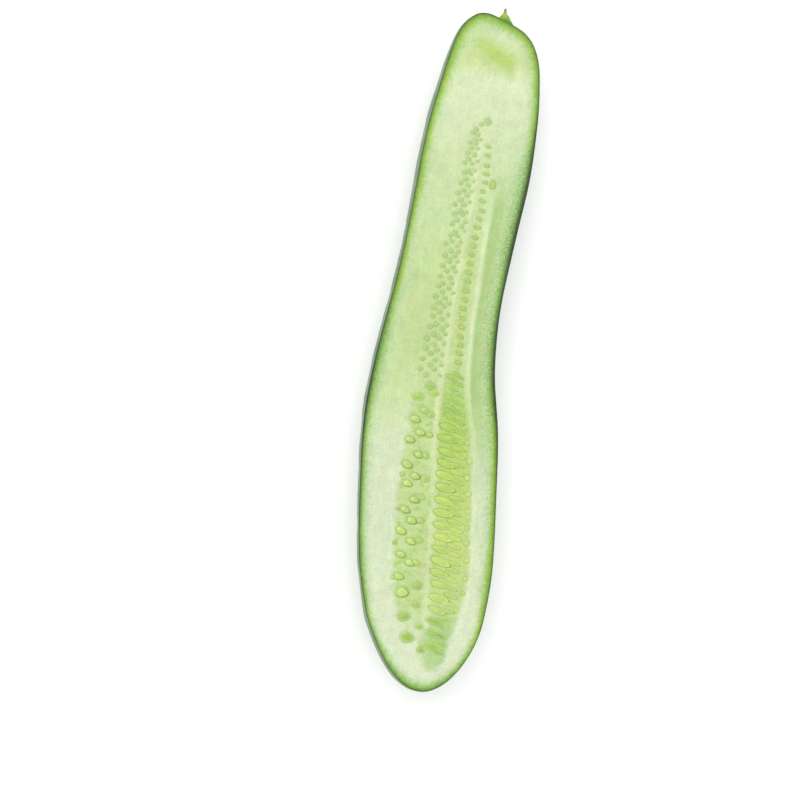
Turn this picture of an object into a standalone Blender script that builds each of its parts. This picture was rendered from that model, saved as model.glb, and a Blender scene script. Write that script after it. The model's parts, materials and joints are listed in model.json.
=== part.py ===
"""Half of a Japanese cucumber, cut lengthwise, lying on its rounded back with the cut face up.

The fruit is lofted whole from its radius along a gently bent axis, then cut with one level knife
plane that passes a little above the axis, as a cook's knife does. The seeds stand out of the cut
face in two bands, one on each side of the pale wall in the middle. The torn end of the fruit
stalk is a piece of its own.

Units are metres. +Y runs from the blossom end to the stalk end, and +Z is up, out of the cut face.
A station is a distance along +Y from the blossom end, and across means along +X.
The origin is the bottom centre of the whole part's box.
"""

import math
import random
from collections import namedtuple

import bmesh
import bpy
from mathutils import Matrix, Vector

# The half fruit

LENGTH = 0.1797
CUT_HEIGHT = 0.0195  # the cut face above the table

# Half the width of the cut face at each station: a fat belly, a waist and a slimmer shoulder
CUT_HALF_WIDTH = [
    (0.0000, 0.0000), (0.0040, 0.0076), (0.0080, 0.0106), (0.0140, 0.0137), (0.0200, 0.0157),
    (0.0340, 0.0178), (0.0560, 0.0182), (0.0700, 0.0179), (0.0860, 0.0160), (0.1040, 0.0145),
    (0.1220, 0.0144), (0.1380, 0.01475), (0.1520, 0.01415), (0.1640, 0.01265), (0.1680, 0.0119),
    (0.1710, 0.01105), (0.1730, 0.0102), (0.1746, 0.0092), (0.1760, 0.00795), (0.1773, 0.0061),
    (0.1785, 0.00385), (0.1797, 0.0000),
]
# How far the bent axis lies across from the straight line between the ends
AXIS_ACROSS = [
    (0.0000, 0.0000), (0.0080, 0.0000), (0.0140, -0.00022), (0.0200, -0.00073), (0.0440, -0.0025),
    (0.0680, -0.0040), (0.0840, -0.0047), (0.0980, -0.0039), (0.1160, -0.0017), (0.1340, 0.00035),
    (0.1500, 0.00165), (0.1600, 0.00245), (0.1680, 0.0028), (0.1730, 0.00246), (0.1746, 0.00212),
    (0.1760, 0.00165), (0.1773, 0.00085), (0.1785, -0.00005), (0.1797, -0.00075),
]
# How far above the axis the knife passed
CUT_ABOVE_AXIS = [
    (0.0000, 0.0014), (0.0060, 0.0025), (0.0120, 0.0028), (0.0220, 0.0023), (0.0400, 0.0018),
    (0.1000, 0.0026), (0.1500, 0.0031), (0.1640, 0.0027), (0.1720, 0.0014), (0.1797, 0.0007),
]
# The fruit's height over its width, which levels the belly and the shoulder on the table
TALLNESS = [
    (0.0000, 0.97), (0.0560, 0.98), (0.0860, 1.03), (0.1040, 1.08), (0.1350, 1.12),
    (0.1600, 1.08), (0.1797, 1.00),
]
KEEL_SHIFT = -0.0009  # how far across the lowest line lies from the axis
LOBES = 3  # one for each of the fruit's three seed chambers
LOBE_SHARE = 0.010
STATIONS = 54
SIDES = 32

# The seed bed on the cut face: the two outer edges and the pale wall between the bands

BED_LEFT = [
    (0.008, -0.0045), (0.016, -0.0076), (0.030, -0.0108), (0.045, -0.0114), (0.060, -0.0112),
    (0.076, -0.0098), (0.092, -0.0080), (0.110, -0.0061), (0.128, -0.0040), (0.146, -0.0016),
    (0.154, 0.0004),
]
MIDDLE_WALL = [
    (0.0080, 0.0002), (0.0140, -0.0006), (0.0370, -0.0022), (0.0600, -0.0028), (0.0900, -0.0023),
    (0.1060, -0.0016), (0.1150, -0.0011), (0.1250, 0.0001), (0.1350, 0.0008), (0.1460, 0.0013),
    (0.1540, 0.0014),
]
BED_RIGHT = [
    (0.008, 0.0050), (0.016, 0.0066), (0.028, 0.0092), (0.043, 0.0088), (0.059, 0.0074),
    (0.075, 0.0052), (0.084, 0.0038), (0.098, 0.0026), (0.112, 0.0032), (0.128, 0.0046),
    (0.142, 0.0046), (0.154, 0.0024),
]
# A row of seeds runs along a band. Its share is its place across the band: 0 at the bed's outer
# edge and 1 at the wall. The turn is in degrees, and the crown is how far a seed stands out.
SeedRow = namedtuple("SeedRow", "edge share first last pitch length width turn jitter crown")
SEED_ROWS = [
    # Ripening seeds seen end on, in the left band
    SeedRow(BED_LEFT, 0.27, 0.0139, 0.0260, 0.00575, 0.0041, 0.0030, -5, 0.00030, 0.00042),
    SeedRow(BED_LEFT, 0.20, 0.0300, 0.0790, 0.00590, 0.0035, 0.00215, -19, 0.00055, 0.00040),
    SeedRow(BED_LEFT, 0.48, 0.0329, 0.0805, 0.00590, 0.0033, 0.0020, -18, 0.00060, 0.00040),
    SeedRow(BED_LEFT, 0.74, 0.0112, 0.0790, 0.00560, 0.0026, 0.0018, -14, 0.00050, 0.00036),
    SeedRow(BED_LEFT, 0.03, 0.0290, 0.0720, 0.00900, 0.0015, 0.0012, 0, 0.00050, 0.00024),
    # Ripening seeds seen from the side, in the right band
    SeedRow(BED_RIGHT, 0.66, 0.0122, 0.0699, 0.00320, 0.0059, 0.00205, -12, 0.00030, 0.00040),
    SeedRow(BED_RIGHT, 0.38, 0.0108, 0.0700, 0.00215, 0.0046, 0.0012, -17, 0.00025, 0.00030),
    SeedRow(BED_RIGHT, 0.64, 0.0724, 0.0845, 0.00260, 0.0044, 0.0014, -23, 0.00025, 0.00034),
    SeedRow(BED_RIGHT, 0.36, 0.0716, 0.0855, 0.00240, 0.0037, 0.00105, -24, 0.00020, 0.00030),
    SeedRow(BED_RIGHT, 0.07, 0.0220, 0.0700, 0.00440, 0.0016, 0.0014, 0, 0.00035, 0.00024),
    # Ovules that never swelled, in the slim upper part
    SeedRow(BED_LEFT, 0.06, 0.0845, 0.1480, 0.00275, 0.0014, 0.0012, 0, 0.00035, 0.00020),
    SeedRow(BED_LEFT, 0.33, 0.0830, 0.1500, 0.00275, 0.0014, 0.0012, 0, 0.00035, 0.00020),
    SeedRow(BED_LEFT, 0.60, 0.0845, 0.1510, 0.00275, 0.0013, 0.0011, 0, 0.00035, 0.00020),
    SeedRow(BED_LEFT, 0.86, 0.0830, 0.1480, 0.00275, 0.0012, 0.0010, 0, 0.00030, 0.00020),
    SeedRow(BED_RIGHT, 0.36, 0.0869, 0.1460, 0.00240, 0.0018, 0.0010, -14, 0.00020, 0.00020),
    # Two that swelled a little
    SeedRow(BED_RIGHT, 0.30, 0.1512, 0.1512, 0.00500, 0.00195, 0.0021, 0, 0.00010, 0.00022),
    SeedRow(BED_RIGHT, -0.15, 0.1346, 0.1346, 0.00500, 0.00198, 0.0030, 0, 0.00010, 0.00022),
]
OVULE_LENGTH = 0.0020  # anything shorter is an ovule
SUNK_SHARE = 0.18  # how much of a seed's upper half lies below the cut face
RANDOM_SEED = 12

# The torn stalk

STALK_ACROSS = 0.0043
STALK_BASE_STATION = 0.1755
STALK_DROP = 0.0031  # its axis below the cut face
# The stub's radius at each distance along its axis
STALK_PROFILE = [
    (0.0000, 0.0026), (0.0022, 0.0025), (0.0034, 0.0017), (0.0044, 0.0010), (0.0050, 0.0005),
    (0.0061, 0.0003),
]
STALK_LEAN = 0.05  # across for each metre along
STALK_RIBS = 5
STALK_RIB_SHARE = 0.12
STALK_SIDES = 15
PIECE_GAP = 0.0003

FLESH_COLOUR = (0.62, 0.78, 0.40, 1.0)
SKIN_COLOUR = (0.055, 0.150, 0.040, 1.0)
STALK_COLOUR = (0.36, 0.52, 0.12, 1.0)


def smooth_value(table, station):
    """The value at a station, on one smooth curve through the table's points."""
    if station <= table[0][0]:
        return table[0][1]
    for i in range(len(table) - 1):
        (s0, v0), (s1, v1) = table[i], table[i + 1]
        if station > s1:
            continue
        before = table[i - 1] if i else table[i]
        after = table[i + 2] if i + 2 < len(table) else table[i + 1]
        slope0 = (v1 - before[1]) / (s1 - before[0])
        slope1 = (after[1] - v0) / (after[0] - s0)
        step = s1 - s0
        t = (station - s0) / step
        return (
            v0 * (1 + 2 * t) * (1 - t) ** 2
            + slope0 * step * t * (1 - t) ** 2
            + v1 * t * t * (3 - 2 * t)
            + slope1 * step * t * t * (t - 1)
        )
    return table[-1][1]


CUT_HALF_WIDTH_SQUARED = [(s, w * w) for s, w in CUT_HALF_WIDTH]


def fruit_radius(station):
    """The whole fruit's radius. Its square runs straight to nothing at a rounded end."""
    above = smooth_value(CUT_ABOVE_AXIS, station)
    squared = smooth_value(CUT_HALF_WIDTH_SQUARED, station) + above * above
    past_end = max(-station, station - LENGTH, 0.0)
    return math.sqrt(max(squared - past_end * above * above / end_reach(station), 0.0))


def end_reach(station):
    """How far the rounded skin runs past the cut face at the nearer end."""
    end, inner = (0, 1) if station < LENGTH / 2 else (-1, -2)
    above = CUT_ABOVE_AXIS[end][1]
    run = abs(CUT_HALF_WIDTH[inner][0] - CUT_HALF_WIDTH[end][0])
    return above * above * run / CUT_HALF_WIDTH_SQUARED[inner][1]


def axis_point(station):
    across = smooth_value(AXIS_ACROSS, station)
    return Vector((across, station, CUT_HEIGHT - smooth_value(CUT_ABOVE_AXIS, station)))


def section_point(station, turn):
    """A point of the whole fruit's skin. The turn is measured from straight down."""
    radius = fruit_radius(station)
    tall = radius * smooth_value(TALLNESS, station)
    lobes = 1 + LOBE_SHARE * math.cos(LOBES * turn)
    depth_share = 0.5 * (1 + math.cos(turn))
    axis = axis_point(station)
    x = axis.x + radius * math.sin(turn) * lobes + KEEL_SHIFT * depth_share
    z = axis.z - tall * math.cos(turn) * lobes
    return Vector((x, station, max(z, 0.0)))


def loft(rings, tip_start, tip_end):
    """A closed mesh through rings of points, with a pole at each end."""
    mesh = bmesh.new()
    loops = [[mesh.verts.new(p) for p in ring] for ring in rings]
    count = len(loops[0])
    first, last = mesh.verts.new(tip_start), mesh.verts.new(tip_end)
    for i in range(count):
        j = (i + 1) % count
        mesh.faces.new((first, loops[0][i], loops[0][j]))
        mesh.faces.new((last, loops[-1][j], loops[-1][i]))
        for low, high in zip(loops, loops[1:]):
            mesh.faces.new((low[i], high[i], high[j], low[j]))
    bmesh.ops.recalc_face_normals(mesh, faces=mesh.faces)
    return mesh


def whole_fruit():
    start, end = -end_reach(0.0), LENGTH + end_reach(LENGTH)
    turns = [2 * math.pi * (i + 0.5) / SIDES for i in range(SIDES)]
    rings = []
    for k in range(1, STATIONS):
        station = start + (end - start) * (1 - math.cos(math.pi * k / STATIONS)) / 2
        rings.append([section_point(station, turn) for turn in turns])
    return loft(rings, axis_point(start), axis_point(end))


def knife_cut(mesh, height):
    """Takes away all above a level plane and closes the cut with one face."""
    geometry = mesh.verts[:] + mesh.edges[:] + mesh.faces[:]
    bmesh.ops.bisect_plane(
        mesh, geom=geometry, plane_co=(0, 0, height), plane_no=(0, 0, 1), clear_outer=True, dist=1e-6
    )
    rim = [edge for edge in mesh.edges if edge.is_boundary]
    bmesh.ops.edgeloop_fill(mesh, edges=rim)
    bmesh.ops.recalc_face_normals(mesh, faces=mesh.faces)


def seed_places(row, draw):
    """Each seed of a row: its centre across and along, its length and width, and its turn."""
    places = []
    station = row.first
    while station <= row.last:
        along = station + draw.uniform(-row.jitter, row.jitter)
        edge = smooth_value(row.edge, along)
        wall = smooth_value(MIDDLE_WALL, along)
        across = edge + (wall - edge) * row.share + draw.uniform(-row.jitter, row.jitter)
        size = draw.uniform(0.90, 1.08)
        turn = math.radians(row.turn + draw.uniform(-7, 7))
        places.append((across, along, row.length * size, row.width * size, turn))
        station += row.pitch
    return places


def make_material(name, colour, roughness):
    material = bpy.data.materials.new(name)
    material.use_nodes = True
    shader = material.node_tree.nodes["Principled BSDF"]
    shader.inputs["Base Color"].default_value = colour
    shader.inputs["Roughness"].default_value = roughness
    shader.inputs["Metallic"].default_value = 0.0
    return material


def add_object(name, mesh, collection):
    data = bpy.data.meshes.new(name)
    mesh.to_mesh(data)
    mesh.free()
    obj = bpy.data.objects.new(name, data)
    collection.objects.link(obj)
    return obj


def apply_modifiers(obj):
    """Bakes an object's modifiers into its mesh."""
    graph = bpy.context.evaluated_depsgraph_get()
    made = bpy.data.meshes.new_from_object(obj.evaluated_get(graph))
    obj.modifiers.clear()
    obj.data = made


def seed_mesh(length, width, crown, is_ovule):
    """An egg-shaped seed, sunk past its widest line so that only its crown stands out."""
    mesh = bmesh.new()
    segments, rings = (6, 4) if is_ovule else (8, 5)
    bmesh.ops.create_uvsphere(mesh, u_segments=segments, v_segments=rings, radius=1.0)
    half_thick = crown / (1 - SUNK_SHARE)
    mesh.transform(Matrix.Diagonal((length / 2, width / 2, half_thick, 1.0)))
    mesh.transform(Matrix.Translation((0, 0, crown - half_thick)))
    return mesh


def add_seeds(fruit):
    """Joins every seed to the cut face of the fruit."""
    seeds = bpy.data.collections.new("seeds")
    bpy.context.scene.collection.children.link(seeds)
    draw = random.Random(RANDOM_SEED)
    for row in SEED_ROWS:
        for across, along, length, width, turn in seed_places(row, draw):
            mesh = seed_mesh(length, width, row.crown, row.length < OVULE_LENGTH)
            place = Matrix.Translation((across, along, CUT_HEIGHT))
            mesh.transform(place @ Matrix.Rotation(turn, 4, "Z"))
            add_object("seed", mesh, seeds)
    union = fruit.modifiers.new("seeds", "BOOLEAN")
    union.operation = "UNION"
    union.solver = "EXACT"
    union.operand_type = "COLLECTION"
    union.collection = seeds
    apply_modifiers(fruit)
    for obj in list(seeds.objects):
        bpy.data.objects.remove(obj)
    bpy.data.collections.remove(seeds)


def torn_stalk():
    """A ribbed stub that narrows to a torn tip, from inside the fruit's end outwards."""
    rings = []
    for along, radius in STALK_PROFILE:
        ring = []
        for i in range(STALK_SIDES):
            turn = 2 * math.pi * i / STALK_SIDES
            ribbed = radius * (1 + STALK_RIB_SHARE * math.cos(STALK_RIBS * turn))
            x = STALK_ACROSS + STALK_LEAN * along + ribbed * math.sin(turn)
            z = CUT_HEIGHT - STALK_DROP - ribbed * math.cos(turn)
            ring.append(Vector((x, STALK_BASE_STATION + along, z)))
        rings.append(ring)
    reach, tip_radius = STALK_PROFILE[-1]
    start = Vector((STALK_ACROSS, STALK_BASE_STATION, CUT_HEIGHT - STALK_DROP))
    tip = start + Vector((STALK_LEAN * reach, reach + tip_radius, 0.0))
    return loft(rings, start, tip)


def clear_stalk_of_fruit(stalk, fruit):
    """Cuts the stalk's foot to the fruit's rounded end, a small gap away from it."""
    cutters = bpy.data.collections.new("cutters")
    bpy.context.scene.collection.children.link(cutters)
    swollen = bpy.data.objects.new("swollen_fruit", fruit.data.copy())
    cutters.objects.link(swollen)
    swollen.hide_render = True
    swollen.display_type = "WIRE"
    swell = swollen.modifiers.new("swell", "DISPLACE")
    swell.mid_level = 0.0
    swell.strength = PIECE_GAP
    cut = stalk.modifiers.new("foot", "BOOLEAN")
    cut.operation = "DIFFERENCE"
    cut.solver = "EXACT"
    cut.object = swollen
    apply_modifiers(stalk)
    bpy.data.objects.remove(swollen)
    bpy.data.collections.remove(cutters)


def paint_and_shade(fruit, flesh, skin):
    """Flesh on the cut face and its seeds, skin below. The cut face alone stays flat."""
    fruit.data.materials.clear()
    fruit.data.materials.append(flesh)
    fruit.data.materials.append(skin)
    for face in fruit.data.polygons:
        face.material_index = 0 if face.center.z > CUT_HEIGHT - 1e-6 else 1
        face.use_smooth = face.normal.z < 0.9999


def main():
    for obj in list(bpy.data.objects):
        bpy.data.objects.remove(obj)
    cucumber = bpy.data.collections.new("japanese_cucumber")
    bpy.context.scene.collection.children.link(cucumber)
    flesh = make_material("cucumber_flesh", FLESH_COLOUR, 0.35)
    skin = make_material("cucumber_skin", SKIN_COLOUR, 0.40)
    stalk_green = make_material("stalk_green", STALK_COLOUR, 0.60)

    mesh = whole_fruit()
    knife_cut(mesh, CUT_HEIGHT)
    fruit = add_object("cucumber_half", mesh, cucumber)

    mesh = torn_stalk()
    stalk = add_object("stem_stub", mesh, cucumber)
    clear_stalk_of_fruit(stalk, fruit)
    add_seeds(fruit)
    paint_and_shade(fruit, flesh, skin)
    stalk.data.materials.clear()
    stalk.data.materials.append(stalk_green)
    stalk.data.shade_smooth()
    stalk.data.set_sharp_from_angle(angle=math.radians(60))

    corners = [v.co for obj in (fruit, stalk) for v in obj.data.vertices]
    middle_x = (min(c.x for c in corners) + max(c.x for c in corners)) / 2
    middle_y = (min(c.y for c in corners) + max(c.y for c in corners)) / 2
    for obj in (fruit, stalk):
        obj.location = (-middle_x, -middle_y, 0.0)


main()
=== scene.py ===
# %% [markdown]
# # Half of a Japanese cucumber
#
# A slim young cucumber has been cut lengthwise and lies on its rounded green back. This notebook
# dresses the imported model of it: the wet cut face with its green rim, seed bed and raised seeds,
# the waxy skin below, and the torn stub of the stalk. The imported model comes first, because every
# piece has to sit where its solids are.

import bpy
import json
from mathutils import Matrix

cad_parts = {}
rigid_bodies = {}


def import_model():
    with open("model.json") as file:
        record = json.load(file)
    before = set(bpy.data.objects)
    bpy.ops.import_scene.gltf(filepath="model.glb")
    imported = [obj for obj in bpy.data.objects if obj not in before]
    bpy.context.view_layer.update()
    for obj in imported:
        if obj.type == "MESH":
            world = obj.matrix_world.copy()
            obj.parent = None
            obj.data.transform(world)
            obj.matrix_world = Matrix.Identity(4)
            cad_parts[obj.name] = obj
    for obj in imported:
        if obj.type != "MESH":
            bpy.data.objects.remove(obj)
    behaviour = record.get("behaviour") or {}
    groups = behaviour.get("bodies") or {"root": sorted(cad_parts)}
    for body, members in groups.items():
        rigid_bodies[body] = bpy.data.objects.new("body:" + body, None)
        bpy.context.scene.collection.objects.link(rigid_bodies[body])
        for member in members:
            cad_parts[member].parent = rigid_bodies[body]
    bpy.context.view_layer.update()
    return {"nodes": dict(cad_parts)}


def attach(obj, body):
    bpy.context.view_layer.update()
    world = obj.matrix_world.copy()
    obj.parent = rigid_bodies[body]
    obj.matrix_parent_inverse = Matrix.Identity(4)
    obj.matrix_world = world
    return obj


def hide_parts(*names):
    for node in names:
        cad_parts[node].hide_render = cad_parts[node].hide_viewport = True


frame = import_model()
print("packed nodes:", sorted(frame["nodes"]))

# %% [markdown]
# ## Units and small helpers
#
# The real fruit was measured in millimetres, so the tables below are in millimetres and one
# factor turns them into Blender's metres. Colours are written as the hex values that a colour
# picker shows, and one function turns them into the linear numbers that a shader works with.
# One more function adds a node with its settings and its links, and gives back its result. Where
# many nodes of one kind follow each other, they stand in a table with one row for each, and a
# second function reads the table. That keeps each tree short enough to read.

# %% Helpers for colours and nodes
import json
import math
import random

import bmesh
import bpy
import numpy as np
from mathutils import Matrix, Vector

MM = 0.001
# Heads of the node tables: the kind, then its columns. A column in small letters is a setting.
SLIDE = (
    "ShaderNodeMapRange", "Value", "From Min", "From Max", "To Min", "To Max", "interpolation_type"
)
SUM = ("ShaderNodeMath", "operation", 0, 1, 2)
NOISE = ("ShaderNodeTexNoise", "Vector", "Scale", "Detail", "Roughness")
MIX = ("ShaderNodeMix", 0, 6, 7)


def linear(hex_colour):
    """An sRGB hex colour as the linear numbers that a shader reads."""
    channels = [int(hex_colour[i : i + 2], 16) / 255 for i in (1, 3, 5)]
    return (*[c / 12.92 if c <= 0.04045 else ((c + 0.055) / 1.055) ** 2.4 for c in channels], 1.0)


def spaced(size):
    """The scale that gives a pattern a size in millimetres."""
    return 1 / (size * MM)


def add_node(tree, kind, inputs=None, stops=None, out=None, **settings):
    """Adds one node and gives back its result, or the output named by out.

    Inputs are values, hex colours, or sockets to link. Stops fill a colour ramp.
    """
    made = tree.nodes.new(kind)
    for name, value in settings.items():
        setattr(made, name, value)
    for name, value in (inputs or {}).items():
        if isinstance(value, bpy.types.NodeSocket):
            tree.links.new(value, made.inputs[name])
        else:
            is_colour = isinstance(value, str) and value.startswith("#")
            made.inputs[name].default_value = linear(value) if is_colour else value
    if stops:
        elements = made.color_ramp.elements
        elements.remove(elements[1])
        elements[0].position, elements[0].color = stops[0][0], linear(stops[0][1])
        for position, colour in stops[1:]:
            elements.new(position).color = linear(colour)
    if out:
        return made.outputs[out]
    return next((socket for socket in made.outputs if socket.enabled), None)


def add_table(tree, parts, head, rows, **settings):
    """Adds a node for each row. A row starts with the name that its result gets in parts.

    An input that is the name of an earlier part is linked to that part.
    """
    for name, *values in rows:
        row = {column: parts.get(value, value) for column, value in zip(head[1:], values)}
        own = {column: row.pop(column) for column in list(row) if str(column).islower()}
        parts[name] = add_node(tree, head[0], row, **settings, **own)


# %% [markdown]
# ## The camera
#
# The photographer looked almost straight down on the cut face, from a little to its left, so that
# a thin strip of skin shows along the left side. The fruit leans about six degrees to the right in
# the picture, which is the camera's roll. A long lens from a good distance keeps the two ends in
# proportion.

# %% Camera
LENS = 200  # mm
AIM = Vector((-10.067, -15.18, 19.5)) * MM
LOOK_FROM, LOOK_DOWN, ROLL = math.radians(-80), math.radians(81.5), math.radians(5.8)
DISTANCE = 1168 * MM

back = Vector((
    math.sin(LOOK_FROM) * math.cos(LOOK_DOWN),
    -math.cos(LOOK_FROM) * math.cos(LOOK_DOWN),
    math.sin(LOOK_DOWN),
))
right = Vector((0, 1, 0)).cross(back).normalized()
up = back.cross(right)
rolled_right = right * math.cos(ROLL) + up * math.sin(ROLL)
rolled_up = up * math.cos(ROLL) - right * math.sin(ROLL)
camera_data = bpy.data.cameras.new("camera")
camera_data.lens = LENS
camera = bpy.data.objects.new("camera", camera_data)
turned = Matrix((rolled_right, rolled_up, back)).transposed().to_4x4()
camera.matrix_world = Matrix.Translation(AIM + back * DISTANCE) @ turned
bpy.context.scene.collection.objects.link(camera)
bpy.context.scene.camera = camera
print("camera height in mm:", round(camera.matrix_world.translation.z / MM))

# %% [markdown]
# ## The measures of the fruit
#
# A station is a distance along the fruit from its blossom end, in millimetres. The cut face has a
# fat belly near the blossom end, a waist in the middle and a slimmer shoulder below the stalk.
# The knife passed a little above the axis, so the skin bulges slightly past the cut edge. A smooth
# curve through a few measured points keeps the outline as calm as a grown thing is.

# %% Measures in millimetres
LENGTH, CUT_HEIGHT = 179.7, 19.5
PART_CENTRE = (-3.333, 90.882)  # the middle of the part's box, across and along
CUT_HALF_WIDTH = [
    (0, 0), (4, 7.6), (8, 10.6), (14, 13.7), (20, 15.7), (34, 17.8), (56, 18.2), (70, 17.9),
    (86, 16.0), (104, 14.5), (122, 14.4), (138, 14.75), (152, 14.15), (164, 12.65), (168, 11.9),
    (171, 11.05), (173, 10.2), (174.6, 9.2), (176, 7.95), (177.3, 6.1), (178.5, 3.85), (179.7, 0),
]
AXIS_ACROSS = [
    (0, 0), (8, 0), (14, -0.22), (20, -0.73), (44, -2.5), (68, -4.0), (84, -4.7), (98, -3.9),
    (116, -1.7), (134, 0.35), (150, 1.65), (160, 2.45), (168, 2.8), (173, 2.46), (174.6, 2.12),
    (176, 1.65), (177.3, 0.85), (178.5, -0.05), (179.7, -0.75),
]
CUT_ABOVE_AXIS = [
    (0, 1.4), (6, 2.5), (12, 2.8), (22, 2.3), (40, 1.8), (100, 2.6), (150, 3.1), (164, 2.7),
    (172, 1.4), (179.7, 0.7),
]
TALLNESS = [
    (0, 0.97), (56, 0.98), (86, 1.03), (104, 1.08), (135, 1.12), (160, 1.08), (179.7, 1.0),
]
KEEL_SHIFT, LOBES, LOBE_SHARE = -0.9, 3, 0.010


def curve(table, at):
    """Reads one smooth curve through a table's points at many stations at once."""
    s, v = np.array(table, float).T
    slope = np.empty_like(v)
    slope[1:-1] = (v[2:] - v[:-2]) / (s[2:] - s[:-2])
    slope[0] = (v[1] - v[0]) / (s[1] - s[0])
    slope[-1] = (v[-1] - v[-2]) / (s[-1] - s[-2])
    at = np.clip(np.asarray(at, float), s[0], s[-1])
    i = np.clip(np.searchsorted(s, at, side="right") - 1, 0, len(s) - 2)
    step = s[i + 1] - s[i]
    t = (at - s[i]) / step
    rise = v[i] * (1 + 2 * t) * (1 - t) ** 2 + v[i + 1] * t * t * (3 - 2 * t)
    return rise + step * t * (1 - t) * (slope[i] * (1 - t) - slope[i + 1] * t)


def ease(low, high, value):
    """0 up to low, 1 from high, and an even slide between."""
    t = np.clip((value - low) / (high - low), 0, 1)
    return t * t * (3 - 2 * t)


print("belly and shoulder widths in mm:", 2 * curve(CUT_HALF_WIDTH, [56, 140]))

# %% [markdown]
# ## The stations of the rings
#
# The skin and the cut face are one loft of closed rings, one every 0.3 mm, about the size of a
# pixel in the photograph. Near the round ends the width grows as a square root, so there the
# rings stand by equal steps of width. Past the cut the skin still closes over the knife's plane
# by a fraction of a millimetre, and a few small rings carry it to a pole.

# %% Ring stations
RIM_STEP, RING_STEP = 0.33, 0.31
END_REACH, END_ROUNDNESS = 7, 16  # steps taken by width at each end, and how they turn into mm
END_SHARES = np.array([0.0, 0.3, 0.6, 0.85])


def end_cap(end, inner):
    """How far the skin runs past the cut face at an end of the tables."""
    run = abs(CUT_HALF_WIDTH[inner][0] - CUT_HALF_WIDTH[end][0])
    return CUT_ABOVE_AXIS[end][1] ** 2 * run / CUT_HALF_WIDTH[inner][1] ** 2


near_end = np.arange(0, END_REACH, RIM_STEP) ** 2 / END_ROUNDNESS
middle_count = int((LENGTH - 2 * near_end[-1]) / RING_STEP)
middle = np.linspace(near_end[-1], LENGTH - near_end[-1], middle_count)[1:-1]
blossom_cap, stalk_cap = end_cap(0, 1), end_cap(-1, -2)
stations = np.concatenate([
    -blossom_cap * (1 - END_SHARES**2), near_end, middle, LENGTH - near_end[::-1],
    LENGTH + stalk_cap * (1 - END_SHARES[::-1] ** 2),
])
print("rings:", len(stations), "past the ends in mm:", round(blossom_cap, 2), round(stalk_cap, 2))

# %% [markdown]
# ## The skin's section
#
# Seen end on, the fruit is nearly round, with the faint three-lobed form of its three seed
# chambers. At each station the arc runs from the left cut edge, under the fruit, to the right cut
# edge. Where the fruit's own weight rests on the table the lowest line is levelled softly, which
# is also what keeps the real half from rolling.

# %% Skin arcs
ARC_POINTS, TABLE_ROUNDING = 36, 0.12


def lobed(turn):
    """The section's swell at a turn round the axis, in three faint lobes."""
    return 1 + LOBE_SHARE * np.cos(LOBES * turn)


above = curve(CUT_ABOVE_AXIS, stations)
squared = curve([(s, w * w) for s, w in CUT_HALF_WIDTH], stations) + above**2
squared -= above**2 * np.clip(-stations, 0, None) / blossom_cap
squared -= above**2 * np.clip(stations - LENGTH, 0, None) / stalk_cap
radius = np.sqrt(np.clip(squared, 0, None))
tall = radius * curve(TALLNESS, stations)
across = curve(AXIS_ACROSS, stations)
cut_turn = np.full(len(stations), math.pi)
for _ in range(6):  # the lobes depend on the turn, so a few rounds settle both
    cut_turn = np.arccos(np.clip(-above / np.maximum(tall * lobed(cut_turn), 1e-9), -1, 1))
turn = cut_turn[:, None] * np.linspace(-1, 1, ARC_POINTS)
skin_x = across[:, None] + radius[:, None] * np.sin(turn) * lobed(turn)
skin_x += KEEL_SHIFT * 0.5 * (1 + np.cos(turn))
skin_z = (CUT_HEIGHT - above)[:, None] - tall[:, None] * np.cos(turn) * lobed(turn)
skin_z = 0.5 * (skin_z + np.sqrt(skin_z**2 + TABLE_ROUNDING**2))
left_edge, right_edge = skin_x[:, 0], skin_x[:, -1]
print("widest cut face in mm:", round(float((right_edge - left_edge).max()), 2))

# %% [markdown]
# ## The seed bed's lines
#
# The middle of the cut face is the seed bed: soft, watery tissue in two bands. A pale wall runs
# between the bands, and a pale streak of vessels runs up the right side of the bed. The columns
# of the cut face crowd into the bed, because that is where the fine relief is.

# %% Lines on the cut face, in millimetres
BED_LEFT = [
    (8, -4.5), (16, -7.6), (30, -10.8), (45, -11.4), (60, -11.2), (76, -9.8), (92, -8.0),
    (110, -6.1), (128, -4.0), (146, -1.6), (154, 0.4),
]
MIDDLE_WALL = [
    (8, 0.2), (14, -0.6), (37, -2.2), (60, -2.8), (90, -2.3), (106, -1.6), (115, -1.1),
    (125, 0.1), (135, 0.8), (146, 1.3), (154, 1.4),
]
BED_RIGHT = [
    (8, 5.0), (16, 6.6), (28, 9.2), (43, 8.8), (59, 7.4), (75, 5.2), (84, 3.8), (98, 2.6),
    (112, 3.2), (128, 4.6), (142, 4.6), (154, 2.4),
]
PALE_STREAK = [
    (10, 6.9), (17, 8.2), (29, 10.4), (38, 10.6), (52, 9.5), (60, 8.6), (67, 7.3), (72, 6.0),
    (80, 4.5), (92, 3.9), (101, 4.1), (111, 4.6), (119, 5.0), (130, 5.6),
]
PALE_WALL = [
    (8, 0.2), (14, -0.5), (22, -0.95), (30, -1.35), (45, -1.6), (55, -2.2), (63, -2.8), (75, -3.2),
    (90, -2.4), *MIDDLE_WALL[5:],
]
SIDE_COLUMNS, BED_COLUMNS, CROWDED_TO_RIM = 14, 72, 1.4
BED_MARGIN, LEAST_BED, MOST_OF_FACE = 1.2, 5.0, 0.72
bed_middle = (curve(BED_LEFT, stations) + curve(BED_RIGHT, stations)) / 2
bed_half = (curve(BED_RIGHT, stations) - curve(BED_LEFT, stations)) / 2 + BED_MARGIN
bed_half = np.maximum(bed_half, LEAST_BED)
most_half = MOST_OF_FACE * (right_edge - left_edge) / 2
low_x = np.maximum(bed_middle - bed_half, across - most_half)
high_x = np.minimum(bed_middle + bed_half, across + most_half)
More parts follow.
